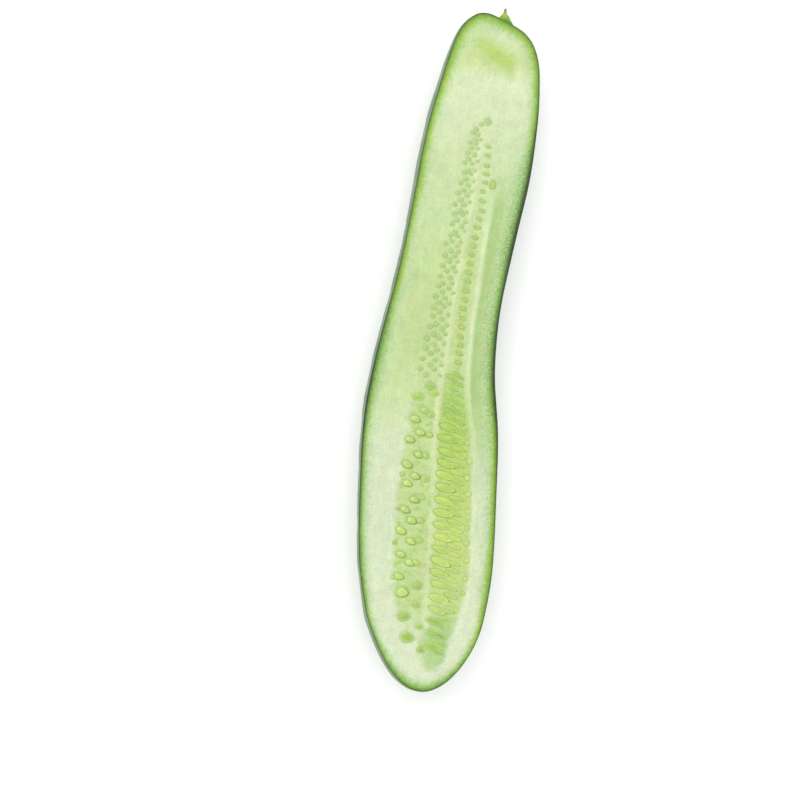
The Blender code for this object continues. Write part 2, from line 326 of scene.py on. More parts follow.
to_rim = (np.arange(SIDE_COLUMNS) / SIDE_COLUMNS)[None, 1:] ** CROWDED_TO_RIM
left_side = left_edge[:, None] + (low_x - left_edge)[:, None] * to_rim
bed_side = low_x[:, None] + (high_x - low_x)[:, None] * np.linspace(0, 1, BED_COLUMNS)
right_side = right_edge[:, None] + (high_x - right_edge)[:, None] * to_rim[:, ::-1]
cut_x = np.concatenate([left_side, bed_side, right_side], axis=1)
print("columns across the cut face:", cut_x.shape[1])

# %% [markdown]
# ## Marks that the flesh is coloured by
#
# Flesh changes by place: green under the rind, watery in the bed, pale on the wall and the streak.
# Each of these is kept as a number on every point of the mesh, from 0 to 1, so that one material
# can follow the fruit's own form instead of a flat projection. The distance to the rind is
# measured in rind widths, because the green layer is thicker at the waist than at the belly. On
# the right side above the waist the widths and the dark skin line are stretched further, as painted
# shade cast there by a neighbouring fruit.

# %% Marks on the cut face
RIND_WIDTH_LEFT = [
    (0, 1.2), (6, 0.85), (15, 0.6), (30, 0.8), (45, 0.85), (60, 0.85), (75, 1.15), (90, 1.6),
    (100, 1.2), (108, 1.05), (120, 0.8), (135, 1.15), (150, 0.9), (165, 1.2), (180, 1.4),
]
# On the right, from about 75 to 140 mm, these widths are stretched to paint the shade cast by a
# neighbouring fruit
RIND_AND_SHADE_WIDTH_RIGHT = [
    (0, 1.2), (6, 0.8), (15, 0.65), (30, 0.98), (45, 0.95), (60, 1.1), (75, 1.5), (90, 1.7),
    (105, 1.6), (120, 1.9), (135, 1.75), (143, 1.3), (150, 0.9), (165, 1.1), (180, 1.4),
]
# The dark skin's own thickness where the knife met it aslant; on the right from about 65 to 150 mm
# the line is widened into painted shade cast by a neighbouring fruit
SKIN_LINE_LEFT = [
    (0, 0), (40, 0.05), (60, 0.15), (75, 0.3), (90, 0.08), (105, 0.03), (180, 0.03),
]
SKIN_LINE_AND_SHADE_RIGHT = [
    (0, 0), (50, 0.05), (65, 0.2), (78, 0.5), (90, 0.42), (105, 0.25), (120, 0.5), (138, 0.5),
    (148, 0.35), (158, 0.08), (180, 0),
]
AT_ONCE = 3000  # points measured together, which keeps the memory small


def nearest(points, line):
    """From each point to the nearest point of a line, in mm."""
    return np.concatenate([
        np.sqrt(((points[i : i + AT_ONCE, None] - line[None]) ** 2).sum(2).min(1))
        for i in range(0, len(points), AT_ONCE)
    ])


def peak(distance, width):
    """1 where the distance is 0, fading to nothing over about twice the width."""
    return np.exp(-((distance / width) ** 2))


def two_sided(left_table, right_table):
    """A table for each side of the cut face, blended across its middle."""
    return curve(left_table, cut_s) * is_left + curve(right_table, cut_s) * (1 - is_left)


cut_s = np.repeat(stations[:, None], cut_x.shape[1], axis=1)
outline = np.concatenate([np.stack([edge, stations], 1) for edge in (left_edge, right_edge)])
rim_mm = nearest(np.stack([cut_x.ravel(), cut_s.ravel()], 1), outline).reshape(cut_x.shape)
is_left = ease(2, -2, cut_x - across[:, None])
skin_and_shade_line = two_sided(SKIN_LINE_LEFT, SKIN_LINE_AND_SHADE_RIGHT)
rind_and_shade_width = two_sided(RIND_WIDTH_LEFT, RIND_AND_SHADE_WIDTH_RIGHT)
# How far a point is inside the bed's left, right, lower and upper edge, whichever is nearest
in_bed = np.minimum.reduce([
    0.4 * (cut_x - curve(BED_LEFT, cut_s)) - 0.1,
    0.75 * (curve(BED_RIGHT, cut_s) - cut_x),
    4.0 * (1 - np.hypot((cut_x - 1.7) / 4.5, np.clip(13 - cut_s, 0, None) / 7.0))
    + 9 * (cut_s > 13),
    0.4 * (155 - cut_s),
])
from_streak = cut_x - curve(PALE_STREAK, cut_s)
band_left = curve(PALE_WALL, cut_s) - 1.9 * ease(20, 13, cut_s)
softer = 1.6 * ease(24, 10, cut_s)  # towards the blossom end the band has no clear edge
right_band = ease(-softer, 1.3 + softer, cut_x - band_left)
# The steps below fade each mark in and out at stations or distances in mm
marks = {
    # on the right the rind's dark edge also carries painted shade from a neighbouring fruit
    "rim": np.clip(rim_mm - skin_and_shade_line, 0, None) / rind_and_shade_width,
    "bed": ease(-0.9, 1.0, in_bed),
    "ripe": ease(90, 72, cut_s) * (right_band + (1 - right_band) * ease(13, 25, cut_s)),
    "right_band": right_band,
    "wall": peak(cut_x - curve(PALE_WALL, cut_s), 0.75 + 0.35 * ease(34, 20, cut_s))
    * ease(12, 19, cut_s) * ease(152, 138, cut_s),
    "streak": peak(from_streak, 0.80) * ease(9, 18, cut_s) * ease(134, 120, cut_s)
    * (0.55 + 0.45 * ease(60, 90, cut_s) + 0.45 * ease(34, 24, cut_s)),
    "green_core": peak(from_streak + 3.2, 1.35) * ease(80, 88, cut_s) * ease(128, 114, cut_s),
    "green_cheek": ease(0.2, 0.9, from_streak) * (0.45 + 0.55 * ease(4.2, 2.9, from_streak))
    * ease(50, 78, cut_s) * ease(142, 124, cut_s),
    "lime": (1 - is_left) * (ease(4, 14, cut_s) * ease(95, 65, cut_s)
    + ease(140, 155, cut_s)) + is_left * ease(92, 110, cut_s),
    # a band inside the rind: dark flecks of torn cells, and pale flecks that are painted glints
    "glint": (1 - 0.5 * is_left) * ease(0.7, 2.2, rim_mm) * ease(5.5, 3.2, rim_mm)
    * ease(25, 50, cut_s) * ease(158, 135, cut_s),
    "yellow_patch": peak(cut_s - 170.4 + 0.55 * cut_x, 2.8) * ease(-7.5, 2.0, cut_x)
    * ease(9.5, 6.5, cut_x),
    "pale_patch": peak(cut_s - 176.0 + 0.45 * cut_x, 1.6) * ease(-1, 2, cut_x)
    * ease(9.5, 7, cut_x),
    # the rings past both tips have no cut face: their two edges have met
    "cut": np.repeat((right_edge - left_edge > 0.001)[:, None], cut_x.shape[1], axis=1) * 1.0,
}
print("points on the cut face:", cut_x.size, "marks:", ", ".join(marks))

# %% [markdown]
# ## One closed skin and cut face
#
# A loft of equal rings is a grid that closes on itself, so its faces follow from counting. At the
# two tips many points fall together, and merging them closes the poles. The cut edge stays sharp,
# as a knife leaves it, and everything else is shaded smooth.

# %% The body mesh
MERGED = 1e-6  # metres


def mesh_object(name, points_mm, faces, numbers):
    """A mesh object from points in millimetres, with numbers kept on its points."""
    mesh = bpy.data.meshes.new(name)
    mesh.from_pydata((np.asarray(points_mm) * MM).tolist(), [], faces)
    for label, values in numbers.items():
        mesh.attributes.new(label, "FLOAT", "POINT").data.foreach_set("value", np.ravel(values))
    obj = bpy.data.objects.new(name, mesh)
    bpy.context.scene.collection.objects.link(obj)
    return obj


def close_up(obj):
    """Merges points that fall together and turns the faces outwards."""
    shell = bmesh.new()
    shell.from_mesh(obj.data)
    bmesh.ops.remove_doubles(shell, verts=shell.verts, dist=MERGED)
    bmesh.ops.recalc_face_normals(shell, faces=shell.faces)
    open_edges = sum(not edge.is_manifold for edge in shell.edges)
    print(obj.name, "has", len(shell.verts), "points and", open_edges, "open edges")
    shell.to_mesh(obj.data)
    shell.free()


def in_place(x, s, z):
    """Points across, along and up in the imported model's frame."""
    return np.stack([x - PART_CENTRE[0], s - PART_CENTRE[1], z], axis=-1)


ring_x = np.concatenate([skin_x, cut_x[:, ::-1]], axis=1)
edge_z = np.repeat(skin_z[:, :1], cut_x.shape[1], axis=1)
ring_z = np.concatenate([skin_z, edge_z], axis=1)
ring_s = np.repeat(stations[:, None], ring_x.shape[1], axis=1)
rings, around = ring_x.shape
index = np.arange(rings * around).reshape(rings, around)
beside = np.roll(index, -1, axis=1)
quads = np.stack([index[:-1], beside[:-1], beside[1:], index[1:]], axis=-1)
numbers = {
    label: np.concatenate([np.zeros_like(skin_x), values[:, ::-1]], axis=1)
    for label, values in marks.items()
}
edge_turn = np.repeat(cut_turn[:, None], cut_x.shape[1], axis=1)
numbers["around"] = np.concatenate([np.abs(turn), edge_turn], axis=1)
numbers["station"] = ring_s / LENGTH
ring_points = in_place(ring_x, ring_s, ring_z).reshape(-1, 3)
body = mesh_object("half_fruit", ring_points, quads.reshape(-1, 4).tolist(), numbers)
close_up(body)

# %% [markdown]
# ## Where the seeds grow
#
# Seeds hang in rows from the walls of their chambers. The left band is cut across its seeds, so
# they show end on as ovals. The right band is cut along them, so they lie side by side like coins
# in a roll. Above the waist the ovules never swelled. The rows follow the bed's lines, and a
# seeded draw moves, sizes and turns each one a little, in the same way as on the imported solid.

# %% Seed rows
# Bed edge, share of the way to the wall, first and last station, pitch, length, width, turn in
# degrees, jitter, crown above the cut face, and what the seed looks like
SEED_ROWS = [
    (BED_LEFT, 0.27, 13.9, 26.0, 5.75, 4.1, 3.0, -5, 0.30, 0.42, "eye"),
    (BED_LEFT, 0.20, 30.0, 79.0, 5.90, 3.5, 2.15, -19, 0.55, 0.40, "eye"),
    (BED_LEFT, 0.48, 32.9, 80.5, 5.90, 3.3, 2.0, -18, 0.60, 0.40, "eye"),
    (BED_LEFT, 0.74, 11.2, 79.0, 5.60, 2.6, 1.8, -14, 0.50, 0.36, "soft"),
    (BED_LEFT, 0.03, 29.0, 72.0, 9.00, 1.5, 1.2, 0, 0.50, 0.24, "soft"),
    (BED_RIGHT, 0.66, 12.2, 69.9, 3.20, 5.9, 2.05, -12, 0.30, 0.40, "side"),
    (BED_RIGHT, 0.38, 10.8, 70.0, 2.15, 4.6, 1.2, -17, 0.25, 0.30, "side"),
    (BED_RIGHT, 0.64, 72.4, 84.5, 2.60, 4.4, 1.4, -23, 0.25, 0.34, "side"),
    (BED_RIGHT, 0.36, 71.6, 85.5, 2.40, 3.7, 1.05, -24, 0.20, 0.30, "side"),
    (BED_RIGHT, 0.07, 22.0, 70.0, 4.40, 1.6, 1.4, 0, 0.35, 0.24, "dot"),
    (BED_LEFT, 0.06, 84.5, 148.0, 2.75, 1.4, 1.2, 0, 0.35, 0.20, "ovule"),
    (BED_LEFT, 0.33, 83.0, 150.0, 2.75, 1.4, 1.2, 0, 0.35, 0.20, "ovule"),
    (BED_LEFT, 0.60, 84.5, 151.0, 2.75, 1.3, 1.1, 0, 0.35, 0.20, "ovule"),
    (BED_LEFT, 0.86, 83.0, 148.0, 2.75, 1.2, 1.0, 0, 0.30, 0.20, "ovule"),
    (BED_RIGHT, 0.36, 86.9, 146.0, 2.40, 1.8, 1.0, -14, 0.20, 0.20, "ovule"),
    (BED_RIGHT, 0.30, 151.2, 151.2, 5.00, 1.95, 2.1, 0, 0.10, 0.22, "ovule"),
    (BED_RIGHT, -0.15, 134.6, 134.6, 5.00, 1.98, 3.0, 0, 0.10, 0.22, "ovule"),
]
RANDOM_SEED, SIZES, TURN_EITHER_WAY = 12, (0.90, 1.08), 7


def seed_places():
    """Every seed's centre, half size with its crown, turn and look, in mm and radians."""
    draw = random.Random(RANDOM_SEED)
    places = []
    for edge_line, share, first, last, pitch, length, width, lean, jitter, crown, look in SEED_ROWS:
        for k in range(int((last - first) / pitch + 1e-9) + 1):
            along = first + k * pitch + draw.uniform(-jitter, jitter)
            edge, wall = float(curve(edge_line, along)), float(curve(MIDDLE_WALL, along))
            side = edge + (wall - edge) * share + draw.uniform(-jitter, jitter)
            size = draw.uniform(*SIZES)
            turned_by = math.radians(lean + draw.uniform(-TURN_EITHER_WAY, TURN_EITHER_WAY))
            half = (length * size / 2, width * size / 2, crown)
            places.append((side, along, half, turned_by, look))
    return places


places = seed_places()
ripe_places = [p for p in places if p[4] != "ovule"]
ovule_places = [p for p in places if p[4] == "ovule"]
print("seeds:", len(ripe_places), "ovules:", len(ovule_places))

# %% [markdown]
# ## The form of a seed
#
# An unripe seed is a flat almond in a soft coat. Where the knife has passed, the coat shows as a
# low rim round a flat middle that sinks a little. One small mesh is turned from that profile on an
# almond outline and then used for all the seeds. For the colours, a number called ring runs from 0
# in its middle to 1 at its edge, and a second number runs from the side painted lit to the side
# painted in shade.

# %% Seed forms
# Distance from the middle and height above the cut face, in shares of the half size and crown
SEED_PROFILE = [
    (0.70, -0.95), (0.98, -0.45), (1.0, -0.10), (0.93, 0.22), (0.84, 0.42), (0.76, 0.42),
    (0.68, 0.36), (0.48, 0.50), (0.24, 0.66),
]
OVULE_PROFILE = [(0.85, -0.9), (1.0, -0.25), (0.72, 0.12), (0.4, 0.26)]
SHADED_SIDE = 0.35  # radians from the seed's blunt end to the side painted in shade, away from the lamp


def ring_faces(first, rings, sides, low, high):
    """Faces of a form of equal rings, with a fan of triangles to a point at each end."""
    faces, last = [], first + (rings - 1) * sides
    for k in range(sides):
        j = (k + 1) % sides
        faces += [(low, first + j, first + k), (high, last + k, last + j)]
        for a in range(first, last, sides):
            faces.append((a + k, a + j, a + sides + j, a + sides + k))
    return faces


def seed_form(name, profile, sides, point_share, almond):
    """A low dome of half size 1, closed below, with one end narrower and both ends pointed."""
    points, ring_numbers, lee = [(0.0, 0.0, profile[0][1] - 0.1)], [1.0], [0.5]
    for reach, height in profile:
        for k in range(sides):
            angle = 2 * math.pi * k / sides
            narrow = (1 - point_share * math.cos(angle)) * abs(math.sin(angle)) ** almond
            points.append((reach * math.cos(angle), reach * narrow * math.sin(angle), height))
            ring_numbers.append(min(reach if height > 0 else 1.0, 1.0))
            # 0 on the side of the seed painted lit, 1 on the side painted in shade
            lee.append(0.5 + 0.5 * reach * math.cos(angle + SHADED_SIDE))
    points.append((0.0, 0.0, profile[-1][1] + 0.05))
    ring_numbers.append(0.0)
    lee.append(0.5)
    faces = ring_faces(1, len(profile), sides, 0, len(points) - 1)
    return mesh_object(name, points, faces, {"ring": ring_numbers, "lee": lee})


ripe_form = seed_form("ripe_seed_form", SEED_PROFILE, sides=22, point_share=0.14, almond=0.28)
ovule_form = seed_form("ovule_form", OVULE_PROFILE, sides=9, point_share=0.05, almond=0.0)
print("faces in a seed and an ovule:", len(ripe_form.data.polygons), len(ovule_form.data.polygons))

# %% [markdown]
# ## A geometry tree with named inputs
#
# Geometry Nodes place the seeds and press the relief. Every tree here takes a mesh and gives one
# back, and its sizes are named inputs, so that they can be changed without opening the tree. The
# result is kept as a plain mesh, because the exported model can't run a tree. The last helper
# starts a material, whose tree reads the numbers that a mesh keeps on its points.

# %% Helpers for geometry trees
def new_tree(name, sizes):
    """A geometry tree, its input sockets and its output sockets."""
    tree = bpy.data.node_groups.new(name, "GeometryNodeTree")
    tree.interface.new_socket("Mesh", in_out="INPUT", socket_type="NodeSocketGeometry")
    for label, kind in sizes.items():
        tree.interface.new_socket(label, in_out="INPUT", socket_type="NodeSocket" + kind)
    tree.interface.new_socket("Mesh", in_out="OUTPUT", socket_type="NodeSocketGeometry")
    return tree, tree.nodes.new("NodeGroupInput").outputs, tree.nodes.new("NodeGroupOutput").inputs


def grow(obj, tree, values):
    """Runs a tree on an object with the values given, and keeps the result as its own mesh."""
    modifier = obj.modifiers.new(tree.name, "NODES")
    modifier.node_group = tree
    for item in tree.interface.items_tree:
        if item.in_out == "INPUT" and item.name in values:
            modifier[item.identifier] = values[item.name]
    depsgraph = bpy.context.evaluated_depsgraph_get()
    mesh = bpy.data.meshes.new_from_object(obj.evaluated_get(depsgraph), depsgraph=depsgraph)
    obj.modifiers.clear()
    obj.data = mesh
    mesh.shade_smooth()
    triangles = sum(len(face.vertices) - 2 for face in mesh.polygons)
    print(obj.name, "has", triangles, "triangles")


def new_material(name, *numbers):
    """A material, its empty tree, and the numbers on the mesh that it reads."""
    material = bpy.data.materials.new(name)
    material.use_nodes = True
    tree = material.node_tree
    tree.nodes.clear()
    return material, tree, {
        number: add_node(tree, "ShaderNodeAttribute", out="Fac", attribute_name=number)
        for number in numbers
    }


# %% [markdown]
# ## Seed coats
#
# A seed at this age is living jelly in a clear, wet coat. Seen end on, the coat shows as a thin
# dark green line between a bright middle and a bright edge. That line is painted darker on one
# side of each seed and lighter on the other, as painted shade and light from the lamp's side. The
# seeds of the right band lie along the cut and deeper in the jelly: they keep the band's own
# colour, which turns greener towards the waist, and only a pale line shows where each coat was
# cut. Their number jelly picks that colour. Some seeds lie just under the cut and show as soft
# green spots, which the number soft picks out, and the number dot picks out the small pale yellow
# ones along the band's outer edge.

# %% Seed material
BAND_ALONG = [  # the jelly of the right band, from the blossom end to the waist
    (0.085, "#AFCD85"), (0.12, "#BFD58A"), (0.17, "#BED380"), (0.25, "#BCD278"), (0.37, "#B1CC6A"),
    (0.43, "#A9C864"),
]
# Each look's colours from a seed's middle to its edge
SEED_RUNS = {
    # the coat's colours on the side painted lit, towards the lamp
    "thin side": [
        (0.0, "#BFD87B"), (0.32, "#BCD67A"), (0.54, "#C6E08A"), (0.68, "#BDD780"),
        (0.79, "#AAC668"), (0.87, "#A8C56C"), (0.95, "#BAD488"), (1.0, "#C2D992"),
    ],
    # the coat's colours on the side painted in shade, away from the lamp
    "thick side": [
        (0.0, "#BFD87B"), (0.32, "#B2CD6C"), (0.54, "#BFDB7E"), (0.68, "#A5C261"),
        (0.79, "#7C9C38"), (0.87, "#86A548"), (0.95, "#AAC673"), (1.0, "#BAD386"),
    ],
    "cut along": [
        (0.0, "#EDF1D6"), (0.50, "#E7EDCA"), (0.66, "#EEF4DA"), (0.77, "#FFFFFF"),
        (0.86, "#E6EDC4"), (0.93, "#C4D192"), (1.0, "#D6E1B0"),
    ],
    "soft spot": [
        (0.0, "#99BD49"), (0.45, "#9FC157"), (0.75, "#A9C971"), (0.92, "#BAD38B"), (1.0, "#C5DA9B"),
    ],
    "yellow dot": [(0.0, "#B6CE6E"), (0.6, "#C0D67F"), (0.85, "#B5CC70"), (1.0, "#BCD380")],
}
WATERY = {
    "IOR": 1.36, "Subsurface Weight": 0.25, "Subsurface Radius": (1.0, 1.0, 0.5),
    "Subsurface Scale": 0.5 * MM,
}
seed_coat, tree, parts = new_material(
    "wet unripe cucumber seed", "ring", "jelly", "tone", "soft", "dot", "along", "lee"
)
for look, stops in SEED_RUNS.items():
    parts[look] = add_node(tree, "ShaderNodeValToRGB", {"Fac": parts["ring"]}, stops=stops)
add_table(tree, parts, SLIDE, [
    # how much of the painted shade run a point of the seed takes
    ("thickness", "lee", 0.25, 0.85, 0.15, 1.0), ("tone", "tone", 0.0, 1.0, 0.93, 1.07),
])
band_colour = add_node(tree, "ShaderNodeValToRGB", {"Fac": parts["along"]}, stops=BAND_ALONG)
lit_band = add_node(tree, "ShaderNodeHueSaturation", {"Color": band_colour, "Value": 1.14})
parts["cut along"] = add_node(tree, "ShaderNodeMix", {
    0: 1.0, 6: lit_band, 7: parts["cut along"],
}, data_type="RGBA", blend_type="MULTIPLY")
add_table(tree, parts, MIX, [
    ("coat", "thickness", "thin side", "thick side"), ("coat", "jelly", "coat", "cut along"),
    ("coat", "soft", "coat", "soft spot"), ("coat", "dot", "coat", "yellow dot"),
], data_type="RGBA")
colour = add_node(tree, "ShaderNodeHueSaturation", {"Color": parts["coat"], "Value": parts["tone"]})
place = add_node(tree, "ShaderNodeTexCoord", out="Object")
film = add_node(tree, "ShaderNodeTexNoise", {
    "Vector": place, "Scale": 1400.0, "Detail": 2.0,  # 0.7 mm across
})
film_bump = add_node(tree, "ShaderNodeBump", {
    "Height": film, "Strength": 0.25, "Distance": 0.1 * MM,
})
shader = add_node(tree, "ShaderNodeBsdfPrincipled", {
    "Base Color": colour, "Roughness": 0.24, "Normal": film_bump, "Coat Weight": 0.4,
    "Coat Roughness": 0.08, **WATERY,
})
add_node(tree, "ShaderNodeOutputMaterial", {"Surface": shader})
print("material:", seed_coat.name)

# %% [markdown]
# ## Ovules
#
# Above the waist nothing was pollinated. The ovules stayed about a millimetre long, and each one
# shows as a greener dot in pale, spongy tissue. They are flatter and softer at the edge than
# the seeds, so their colour runs the other way, from a green middle into the tissue round them.

# %% Ovule material
FLESH_ALONG = [
    (0.0, "#D9E4C4"), (0.06, "#D7E3C0"), (0.25, "#D3E0BD"), (0.36, "#D2DFB9"), (0.42, "#C8DBA3"),
    (0.50, "#BED391"), (0.60, "#C0D494"), (0.70, "#C4D99F"), (0.77, "#C7D8A4"), (0.84, "#CEDDB0"),
    (0.90, "#D4E1B8"), (0.933, "#C3D690"), (0.967, "#C7D9A2"), (1.0, "#B7CC7D"),
]
OVULE_GREEN = "#9DBE65"
ovule_skin, tree, parts = new_material("soft cucumber ovule", "ring", "jelly", "tone", "along")
add_table(tree, parts, SLIDE, [
    ("middle green", "tone", 0.0, 1.0, 0.55, 1.0),
    ("green", "ring", 0.2, 1.0, "middle green", 0.30, "SMOOTHSTEP"),
    ("tone", "tone", 0.0, 1.0, 0.96, 1.04),
])
parts["dash"] = add_node(tree, "ShaderNodeMath", {0: parts["jelly"], 1: 0.8}, operation="MULTIPLY")
parts["dot"] = add_node(tree, "ShaderNodeValToRGB", {"Fac": parts["along"]}, stops=FLESH_ALONG)
add_table(tree, parts, MIX, [
    ("dot", "green", "dot", OVULE_GREEN), ("dot", "dash", "dot", "#AEC86C"),
], data_type="RGBA")
colour = add_node(tree, "ShaderNodeHueSaturation", {"Color": parts["dot"], "Value": parts["tone"]})
shader = add_node(tree, "ShaderNodeBsdfPrincipled", {
    "Base Color": colour, "Roughness": 0.45, "Coat Weight": 0.1, "Coat Roughness": 0.16, **WATERY,
})
add_node(tree, "ShaderNodeOutputMaterial", {"Surface": shader})
print("material:", ovule_skin.name)

# %% [markdown]
# ## The tree that sets the seeds
#
# Each place is one point that carries its seed's half sizes, its turn, its tone and its jelly. The
# tree puts the form on every point, makes the copies real, and pushes their surface about by a
# little noise, because no two soft seeds keep the same outline.

# %% Seed rows as geometry
tree, ins, outs = new_tree("seed rows", {
    "Form": "Object", "Wobble": "Float", "Wobble Size": "Float", "Finish": "Material",
})
form = add_node(tree, "GeometryNodeObjectInfo", {"Object": ins["Form"]}, out="Geometry")
half_size, turned = [
    add_node(tree, "GeometryNodeInputNamedAttribute", {"Name": name}, data_type="FLOAT_VECTOR")
    for name in ("half_size", "turned")
]
rows = add_node(tree, "GeometryNodeInstanceOnPoints", {
    "Points": ins["Mesh"], "Instance": form, "Rotation": turned, "Scale": half_size,
})
real_rows = add_node(tree, "GeometryNodeRealizeInstances", {0: rows})
noise_scale = add_node(
    tree, "ShaderNodeMath", {0: 1.0, 1: ins["Wobble Size"]}, operation="DIVIDE"
)
noise = add_node(tree, "ShaderNodeTexNoise", {"Scale": noise_scale, "Detail": 0.0}, out="Color")
centred = add_node(
    tree, "ShaderNodeVectorMath", {0: noise, 1: (0.5, 0.5, 0.5)}, operation="SUBTRACT"
)
push = add_node(
    tree, "ShaderNodeVectorMath", {0: centred, "Scale": ins["Wobble"]}, operation="SCALE"
)
pushed = add_node(tree, "GeometryNodeSetPosition", {"Geometry": real_rows, "Offset": push})
finished = add_node(tree, "GeometryNodeSetMaterial", {
    "Geometry": pushed, "Material": ins["Finish"],
})
tree.links.new(finished, outs["Mesh"])
seed_tree = tree


def softness(station, look, draw):
    """How far a seed lies under the cut: by its look, and deeper towards both ends of the bed."""
    return max(
        draw.uniform(0.2, 0.95) * (look == "soft"),
        float(ease(24, 20, station + 2 * draw.random())),
        (0.85 - 0.45 * (look == "side")) * float(ease(69, 77, station)),
    )


def set_seeds(name, chosen, form, finish, wobble):
    """One piece from the chosen places, with the form on each of them."""
    draw = random.Random(RANDOM_SEED + len(chosen))
    across, along, half_sizes, turns, looks = zip(*chosen)
    in_right_band = ease(-0.4, 1.2, np.array(across) - curve(MIDDLE_WALL, along))
    piece = mesh_object(name, [in_place(x, s, CUT_HEIGHT) for x, s in zip(across, along)], [], {
        "tone": [draw.random() for _ in chosen],
        "jelly": in_right_band * ease(151, 148, np.array(along)),
        "soft": [softness(s, look, draw) for s, look in zip(along, looks)],
        "dot": [float(look == "dot") for look in looks],
        "along": np.array(along) / LENGTH,
    })
    for label, vectors in {
        "half_size": half_sizes, "turned": [(0, 0, turned_by) for turned_by in turns],
    }.items():
        kept = piece.data.attributes.new(label, "FLOAT_VECTOR", "POINT")
        kept.data.foreach_set("vector", np.ravel(vectors))
    grow(piece, seed_tree, {
        "Form": form, "Wobble": wobble * MM, "Wobble Size": 1.2 * MM, "Finish": finish,
    })
    return piece


seeds = set_seeds("seeds", ripe_places, ripe_form, seed_coat, wobble=0.28)
ovules = set_seeds("ovules", ovule_places, ovule_form, ovule_skin, wobble=0.22)
for form in (ripe_form, ovule_form):
    bpy.data.objects.remove(form)

# %% [markdown]
# ## Raw cucumber flesh
#
# Flesh is nearly all water. Light goes in a millimetre or two and comes out softened, which is
# subsurface scattering, and a film of juice on the fresh cut gives a clear, low gloss. Its colour
# is laid in coats over a run of pale flesh along the fruit: the seed bed and its blots, a net of
# paler threads between the ovules, the wall and the streak, and last the rind, nearly black green
# at the very edge and bright green inside; on the right its dark edge is widened with painted
# shade cast by a neighbouring fruit. Small dark flecks inside the rind are torn cells full of
# juice, and the pale flecks among them are painted glints of wet cells. The real cells are about
# 0.15 mm across, too fine to show, so they are drawn 0.5 mm across, with faint strands along the
# fruit.

# %% Flesh material
STREAK_ALONG = [
    (0.08, "#E2EBCE"), (0.125, "#DDE7C3"), (0.25, "#CADDA4"), (0.40, "#C3D89C"), (0.53, "#D9E4BC"),
    (0.66, "#D5E2B2"),
]
RIND_INWARD = [
    (0.0, "#253F0C"), (0.05, "#42661F"), (0.12, "#5F8932"), (0.2, "#749F42"), (0.3, "#8AB356"),
    (0.4, "#9AC06B"), (0.533, "#A9C981"), (0.667, "#B3CF92"), (0.833, "#BCD49D"), (1.0, "#C1D7A3"),
]
LIME_INWARD = [
    (0.0, "#284008"), (0.05, "#4A6D12"), (0.12, "#66911C"), (0.2, "#7BA62A"), (0.3, "#8DB53F"),
    (0.4, "#9ABF55"), (0.533, "#A8C770"), (0.667, "#B3CE87"), (0.833, "#BBD296"), (1.0, "#C0D69F"),
]
RUN_WIDTHS = 3.0  # how many rind widths the two runs above cover
flesh, tree, parts = new_material(
    "raw cucumber flesh, fresh cut", "station", "rim", "lime", "bed", "ripe", "right_band", "wall",
    "streak", "green_core", "green_cheek", "halo", "yellow_patch", "pale_patch", "glint",
)
place = add_node(tree, "ShaderNodeTexCoord", out="Object")
long_place = add_node(tree, "ShaderNodeMapping", {"Vector": place, "Scale": (1.0, 0.22, 1.0)})
far_place = add_node(tree, "ShaderNodeMapping", {"Vector": place, "Location": (0.05, 0.02, 0.0)})
parts["net"] = add_node(tree, "ShaderNodeTexVoronoi", {
    "Vector": place, "Scale": spaced(2.1), "Randomness": 0.9,
}, feature="DISTANCE_TO_EDGE")
cells = add_node(tree, "ShaderNodeTexVoronoi", {"Vector": place, "Scale": spaced(0.5)})
add_table(tree, parts, NOISE, [
    ("blots", place, spaced(2.2), 1.0), ("ragged", far_place, spaced(2.4), 2.0),
    ("sparks", place, spaced(0.5), 2.0), ("specks", far_place, spaced(0.6), 1.0),
    ("fray", place, spaced(0.8), 2.0), ("strands", long_place, spaced(1.1), 3.0),
    ("clouds", place, spaced(2.6), 3.0), ("drift", place, spaced(7.0), 2.0),
    ("tint", far_place, spaced(3.2), 2.0),
])
add_table(tree, parts, SLIDE, [("fray", "fray", 0.3, 0.7, 0.80, 1.20)])
add_table(tree, parts, SUM, [("rim", "MULTIPLY", "rim", "fray")])
add_table(tree, parts, SLIDE, [
    ("blots", "blots", 0.50, 0.66, 0.0, 1.0),
    ("ragged", "ragged", 0.35, 0.65, 0.0, 0.35),
    # the spots of painted glint, as wet cells would catch the light
    ("sparks", "sparks", 0.46, 0.64, 0.0, 0.55),
    ("specks", "specks", 0.50, 0.66, 0.0, 0.32),
    ("net", "net", 0.03, 0.16, 1.0, 0.0),
    ("cells", cells, 0.0, 0.8, 1.055, 0.935),
    ("strands", "strands", 0.3, 0.7, 0.965, 1.035),
    ("clouds", "clouds", 0.3, 0.7, 0.955, 1.045),
    ("drift", "drift", 0.3, 0.7, 0.98, 1.02),
    ("tint", "tint", 0.3, 0.7, 0.488, 0.512),
    ("past rind", "rim", 0.5, 1.5, 0.0, 0.85),
    ("rind share", "rim", 1.1, 4.4, 1.0, 0.0, "SMOOTHSTEP"),
])
